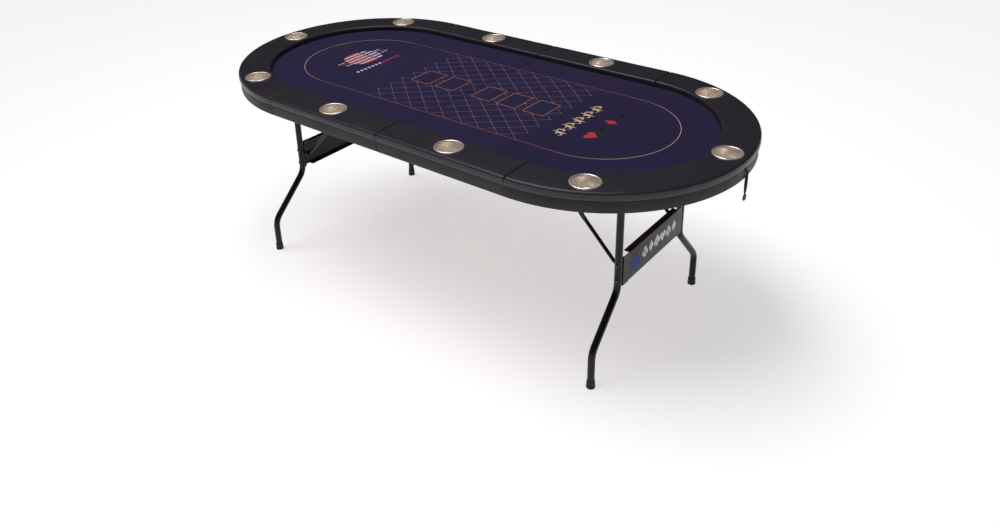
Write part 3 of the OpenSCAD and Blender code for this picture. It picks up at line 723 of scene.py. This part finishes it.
# ---- Hardware under the top: painted steel hinge leaves, links, joining plates and leg brackets, with zinc
# pins and wood screws.
black_plate = finish("black_plate", linear(18, 18, 20), linear(26, 26, 28), 0.36, 0.52, 1100, 0.10,
                     worn=linear(70, 69, 68), Specular_IOR_Level=0.4)
zinc = finish("zinc_steel", linear(150, 150, 152), linear(186, 185, 182), 0.28, 0.46, 1300, 0.06, metal=1.0,
              drift=40)
for side in SIDES:
    coat(black_plate, f"{side}_joining_plates", f"{side}_hinge_leaves", f"{side}_leg_brackets")
    coat(zinc, f"{side}_pivot_pins", f"{side}_screws")
coat(black_plate, "centre_hinge_links")
coat(zinc, "centre_hinge_pins")

# ---- Legs: round steel tube, bent outwards and straight again above the foot, with glossy black paint.
# Each leg turns on the pin of its bracket.
leg_paint = finish("leg_paint", linear(9, 9, 11), linear(15, 15, 17), 0.27, 0.38, 1000, 0.04,
                   worn=linear(34, 34, 36), Specular_IOR_Level=0.26)
LEG_X = {"left": 0.755, "right": 0.760}
LEG_TOP_Y = {"left": 0.245, "right": 0.220}
FOOT_Y = {"left": 0.417, "right": 0.371}
TUBE_R = 0.0125
BEND_R = 0.070
BEND_HIGH = 0.300
BEND_LOW = 0.136
LEG_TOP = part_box("right_leg_tubes")[1].z
PIVOT_Z = LEG_TOP - 0.008


def tube(name, line, radius):
    """A round bar or tube along a line of points, as a mesh."""
    curve = bpy.data.curves.new(name, "CURVE")
    curve.dimensions = "3D"
    curve.bevel_depth = radius
    curve.bevel_resolution = 10
    curve.use_fill_caps = True
    run = curve.splines.new("POLY")
    run.points.add(len(line) - 1)
    for point, spot in zip(run.points, line):
        point.co = (*spot, 1)
    obj = bpy.data.objects.new(name, curve)
    bpy.context.collection.objects.link(obj)
    pick(obj)
    bpy.ops.object.convert(target="MESH")
    return bpy.context.object


for side, way in SIDES.items():
    out = FOOT_Y[side] - LEG_TOP_Y[side]
    lean = math.degrees(math.atan2(out, BEND_HIGH - BEND_LOW))
    tangent = BEND_R * math.tan(math.radians(lean / 2))
    legs = []
    for across in (-1, 1):
        line = [(0, LEG_TOP), (0, (LEG_TOP + BEND_HIGH) / 2)]
        line += [(BEND_R + y, z) for y, z in arc((0, BEND_HIGH + tangent), BEND_R, 180, 180 + lean, 13)]
        line += [(out - BEND_R + y, z) for y, z in arc((0, BEND_LOW - tangent), BEND_R, lean, 0, 13)]
        line += [(out, 0.0065)]
        legs.append(tube(f"{side}_leg_{across}", [(way * LEG_X[side], across * (LEG_TOP_Y[side] + y), z)
                                                  for y, z in line], TUBE_R))
    pick(*legs)
    bpy.ops.object.join()
    legs[0].name = f"{side}_bent_legs"
    wear_it(legs[0], leg_paint, f"{side}_leg_frame", [f"{side}_leg_tubes"], 50)

# ---- Crossbars: folded sheet-steel channels bolted between the legs, with lips and end flanges turned
# inwards. The outer face of the right-hand one has a row of card suits printed on it.
CROSS_Z = 0.371
CROSS_HIGH = 0.112
CROSS_DEEP = 0.022
SHEET = 0.002
FOLD_R = 0.0035
LIP_SHORT = 0.0363
white_ink = ink("crossbar_white", linear(236, 236, 238), 0.94)
blue_ink = ink("crossbar_blue", linear(52, 84, 164))
for side, way in SIDES.items():
    face_x = LEG_X[side] + TUBE_R
    half_wide = LEG_TOP_Y[side] - TUBE_R
    lip_half = half_wide - LIP_SHORT
    low, high = CROSS_Z - CROSS_HIGH / 2, CROSS_Z + CROSS_HIGH / 2
    outer = ([(face_x - CROSS_DEEP, low)] + arc((face_x - FOLD_R, low + FOLD_R), FOLD_R, -90, 0, 6)
             + arc((face_x - FOLD_R, high - FOLD_R), FOLD_R, 0, 90, 6) + [(face_x - CROSS_DEEP, high)])
    inner = ([(face_x - CROSS_DEEP, high - SHEET)]
             + arc((face_x - FOLD_R, high - FOLD_R), FOLD_R - SHEET, 90, 0, 5)
             + arc((face_x - FOLD_R, low + FOLD_R), FOLD_R - SHEET, 0, -90, 5)
             + [(face_x - CROSS_DEEP, low + SHEET)])
    parts = [loft(f"{side}_channel", [[(way * x, y, z) for x, z in outer + inner]
                                      for y in (-lip_half, -lip_half + 0.001, lip_half - 0.001, lip_half)])]
    for across in (-1, 1):
        tab = [(across * lip_half, low), (across * half_wide, low), (across * half_wide, high),
               (across * lip_half, high)]
        parts.append(slab(f"{side}_web_end_{across}", [tab], face_x - SHEET, SHEET, 0,
                          lambda a, b, c: (way * c, a, b)))
        flange = [(face_x - CROSS_DEEP, low + 0.004), (face_x - CROSS_DEEP + 0.004, low), (face_x - 0.001, low),
                  (face_x - 0.001, high), (face_x - CROSS_DEEP + 0.004, high), (face_x - CROSS_DEEP, high - 0.004)]
        parts.append(slab(f"{side}_flange_{across}", [flange], half_wide - SHEET, SHEET, 0.0004,
                          lambda a, b, c: (way * a, across * c, b)))
    pick(*parts)
    bpy.ops.object.join()
    parts[0].name = f"{side}_crossbar_channel"
    wear_it(parts[0], leg_paint, f"{side}_leg_frame", [f"{side}_crossbar"])
    if side == "right":
        marks = []
        for k, kind in enumerate(("club", "diamond", "spade", "heart", "club", "diamond")):
            marks += [[(across - 0.062 + k * 0.0415, CROSS_Z + 0.004 - down) for down, across in shape]
                      for shape in suit(kind, 0, 0, 0.038)]
        piece = slab("crossbar_suit_print", marks, face_x, 0.0002, 0, lambda a, b, c: (c, a, b))
        wear_it(piece, white_ink, "right_leg_frame", smooth=20)
        disc = (-0.126, CROSS_Z - 0.004)
        rings = band(arc(disc, 0.029, 0, 352.5, 48), 0.003, closed=True) + [arc(disc, 0.0245, 0, 352.5, 48)]
        piece = slab("crossbar_disc_print", rings, face_x, 0.00015, 0, lambda a, b, c: (c, a, b))
        wear_it(piece, blue_ink, "right_leg_frame", smooth=20)

# ---- Frame bolts: pan-headed bolts through leg and flange with hexagon nuts inside, and the stud with a
# wide head that the lower brace turns on.
bolt_steel = finish("bolt_steel", linear(52, 52, 55), linear(74, 74, 77), 0.26, 0.42, 1400, 0.06, metal=0.8,
                    worn=linear(130, 128, 126))
BOLT_PITCH = 0.057
FLANGE_IN = TUBE_R + SHEET
BRACE_IN = 0.027
EYE_T = 0.005
bolt_head = [(0, 0.0040), (0.0018, 0.0040), (0.0022, 0.0022), (0.0026, 0.0040), (0.0036, 0.0039), (0.0055, 0.0030),
             (0.0066, 0.0016), (0.0070, 0.0004), (0.0070, 0), (0, 0)]
nut = [(0, 0), (0.0036, 0), (0.0036, 0.0046), (0.0042, 0.0050), (0.0058, 0.0050), (0.0065, 0.0042), (0.0065, 0.0002),
       (0.0063, 0), (0, 0)]
stud_head = [(0, 0.0020), (0.0045, 0.0020), (0.0062, 0.0015), (0.0070, 0.0006), (0.0070, 0), (0.004, 0),
             (0.004, -0.0051), (0.006, -0.0052), (0.006, -0.0125), (0, -0.0125)]
for side, way in SIDES.items():
    parts = []
    for across in (-1, 1):
        for spot, shape, steps, sign in (
                [((TUBE_R, s * BOLT_PITCH / 2), bolt_head, 32, 1) for s in (-1, 1)]
                + [((-FLANGE_IN, s * BOLT_PITCH / 2), nut, 6, -1) for s in (-1, 1)]
                + [((-BRACE_IN - EYE_T / 2, 0), stud_head, 32, -1)]):
            part = turned(f"{side}_bolt", shape, (0, 0), steps)
            part.data.transform(Matrix.Rotation(-across * sign * math.pi / 2, 4, "X"))
            part.data.transform(Matrix.Translation((way * LEG_X[side], across * (LEG_TOP_Y[side] + spot[0]),
                                                    CROSS_Z + spot[1])))
            parts.append(part)
    pick(*parts)
    bpy.ops.object.join()
    parts[0].name = f"{side}_bolts_and_studs"
    wear_it(parts[0], bolt_steel, f"{side}_leg_frame", [f"{side}_frame_bolts"], 30)

# ---- Feet: black rubber caps pushed over the tube ends, with a wide sole and two gripping ribs.
foot_rubber = finish("foot_rubber", linear(18, 18, 18), linear(28, 28, 28), 0.55, 0.72, 900, 0.2)
foot_shape = [(0, 0), (0.0130, 0), (0.0148, 0.0008), (0.0155, 0.0022), (0.0155, 0.0085), (0.0150, 0.0098),
              (0.0142, 0.0106), (0.0142, 0.0150), (0.0146, 0.0156), (0.0146, 0.0172), (0.0142, 0.0178),
              (0.0142, 0.0215), (0.0146, 0.0221), (0.0146, 0.0237), (0.0141, 0.0244), (0.0140, 0.0290),
              (0.0135, 0.0300), (0.0127, 0.0300), (0.0125, 0.0290), (0.0125, 0.0062), (0, 0.0062)]
for side, way in SIDES.items():
    parts = [turned(f"{side}_foot", foot_shape, (way * LEG_X[side], across * FOOT_Y[side]), 48)
             for across in (-1, 1)]
    pick(*parts)
    bpy.ops.object.join()
    parts[0].name = f"{side}_foot_caps"
    wear_it(parts[0], foot_rubber, f"{side}_leg_frame", [f"{side}_feet"], 35)

# ---- Braces: below, a steel rod with its ends pressed flat and cranked at the leg; above, a flat bar from
# the bracket under the board. A rivet joins them at the knee.
REACH = 0.350
DROP = PIVOT_Z - CROSS_Z
SPAN = math.hypot(REACH, DROP)
UPPER = (SPAN + REACH - DROP) / 2
LOWER = SPAN - UPPER
BRACE_TURN = math.atan2(DROP, REACH)
BAR_IN = BRACE_IN + 0.0065 + 0.0018 + 0.0025
BAR_T = 0.005
BAR_W = 0.017
ROD_R = 0.0065
for side, way in SIDES.items():
    rods, bars = [], []
    for across in (-1, 1):
        base = Matrix.Translation((way * LEG_X[side], across * (LEG_TOP_Y[side] - BRACE_IN), CROSS_Z))
        aim = base @ Matrix.Rotation(way * BRACE_TURN, 4, "Y")
        rings = []
        for k in range(61):
            s = k / 60 * (LOWER + 0.017) - 0.0085
            flat = max(0.0, min(1.0, (min(s, LOWER - s) - 0.020) / 0.018))
            flat = flat * flat * (3 - 2 * flat)
            end = max(0.0, -min(s, LOWER - s)) / 0.0085
            wide = (0.0085 * (1 - flat) + ROD_R * flat) * math.sqrt(max(0.02, 1 - end * end))
            thick = 0.0025 * (1 - flat) + ROD_R * flat
            bow = -0.0100 * (s / 0.036 if s < 0.036 else 1 - (s - 0.036) / (LOWER - 0.036)) * (s > 0)
            power = 0.35 + 0.65 * flat
            ring = []
            for t in (2 * math.pi * (q + 0.5) / 28 for q in range(28)):
                a = math.copysign(abs(math.cos(t)) ** power, math.cos(t)) * wide
                b = math.copysign(abs(math.sin(t)) ** power, math.sin(t)) * thick
                ring.append(aim @ Vector((-way * s, b, a + bow)))
            rings.append(ring)
        rods.append(loft(f"{side}_rod_{across}", rings))
        top = Matrix.Translation((way * (LEG_X[side] - REACH), across * (LEG_TOP_Y[side] - BAR_IN), PIVOT_Z))
        aim = top @ Matrix.Rotation(way * BRACE_TURN, 4, "Y")
        line = (arc((0, 0), BAR_W / 2, 90, 270, 17) + arc((UPPER, 0), BAR_W / 2, -90, 90, 17))
        bar = slab(f"{side}_bar_{across}", [line], -BAR_T / 2, BAR_T, 0.0008,
                   lambda a, b, c: (way * a, across * c, b))
        rivet = turned(f"{side}_rivet", [(0, 0.0030), (0.003, 0.0028), (0.0052, 0.0018), (0.0060, 0.0002), (0.0060, 0),
                                         (0.0040, 0), (0.0040, -0.005), (0.0058, -0.005), (0.0058, -0.0104),
                                         (0, -0.0104)], (0, 0), 32)
        rivet.data.transform(Matrix.Rotation(across * math.pi / 2, 4, "X"))
        rivet.data.transform(Matrix.Translation((way * UPPER, -across * BAR_T / 2, 0)))
        pick(bar, rivet)
        bpy.ops.object.join()
        bar.data.transform(aim)
        bars.append(bar)
    for group, body, node in ((rods, "lower_brace_pair", "lower_braces"), (bars, "upper_brace_pair", "upper_braces")):
        pick(*group)
        bpy.ops.object.join()
        group[0].name = f"{side}_{node}_formed"
        wear_it(group[0], leg_paint, f"{side}_{body}", [f"{side}_{node}"], 40)

# ---- Tie strap: flat webbing sewn to an anchor button at the right-hand tip, ending in a moulded ring that
# hooks over the button at the other tip when the table is folded.
strap_webbing = finish("strap_webbing", linear(14, 14, 15), linear(24, 24, 26), 0.7, 0.85, 1600, 0.5)
nodes, link = strap_webbing.node_tree.nodes, strap_webbing.node_tree.links.new
place = nodes.new("ShaderNodeTexCoord")
weave = nodes.new("ShaderNodeTexWave")
weave.bands_direction = "DIAGONAL"
weave.inputs["Scale"].default_value = 420
link(place.outputs["Object"], weave.inputs["Vector"])
link(weave.outputs["Fac"], nodes["bump"].inputs["Height"])
strap_plastic = finish("strap_plastic", linear(16, 16, 17), linear(26, 26, 28), 0.32, 0.45, 1000, 0.08)
STRAP_X = (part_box("tie_strap")[0].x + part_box("tie_strap")[1].x) / 2
STRAP_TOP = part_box("tie_strap")[1].z
STRAP_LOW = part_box("tie_strap")[0].z
STRAP_W = 0.010
STRAP_T = 0.0024
route = [(STRAP_X, 0, STRAP_TOP + (STRAP_LOW - STRAP_TOP) * k / 24) for k in range(25)]
rings = []
for k, spot in enumerate(route):
    twist = math.radians(-62) * math.sin(math.pi * k / 24)
    ring = []
    for t in (2 * math.pi * (q + 0.5) / 20 for q in range(20)):
        a = math.copysign(abs(math.cos(t)) ** 0.45, math.cos(t)) * STRAP_W / 2
        b = math.copysign(abs(math.sin(t)) ** 0.6, math.sin(t)) * STRAP_T / 2
        ring.append((spot[0] + b * math.cos(twist) - a * math.sin(twist),
                     a * math.cos(twist) + b * math.sin(twist), spot[2]))
    rings.append(ring)
strap = loft("tie_strap_webbing", rings)
wear_it(strap, strap_webbing, "right_half", ["tie_strap"], 40)
coat(strap_plastic, "strap_ring")
ANCHOR_Z = (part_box("strap_anchor")[0].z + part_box("strap_anchor")[1].z) / 2
anchor = turned("strap_anchor_cap", [(0, 0.0030), (0.0060, 0.0030), (0.0072, 0.0024), (0.0080, 0.0012),
                                     (0.0080, -0.001), (0, -0.001)], (0, 0), 40)
anchor.data.transform(Matrix.Rotation(math.pi / 2, 4, "Y"))
anchor.data.transform(Matrix.Translation((SEAM_X + SKIRT_R - 0.0004, 0, ANCHOR_Z)))
wear_it(anchor, strap_plastic, "right_half", ["strap_anchor"], 35)
BUTTON_Z = (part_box("strap_button")[0].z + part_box("strap_button")[1].z) / 2
button = turned("strap_button_turned", [(0, 0.0070), (0.0038, 0.0068), (0.0053, 0.0060), (0.0059, 0.0050),
                                        (0.0056, 0.0042), (0.0038, 0.0036), (0.0030, 0.0024), (0.0030, 0.0004),
                                        (0.0040, -0.001), (0, -0.001)], (0, 0), 40)
button.data.transform(Matrix.Rotation(-math.pi / 2, 4, "Y"))
button.data.transform(Matrix.Translation((-(SEAM_X + SKIRT_R) + 0.0004, 0, BUTTON_Z)))
wear_it(button, strap_plastic, "left_half", ["strap_button"], 35)
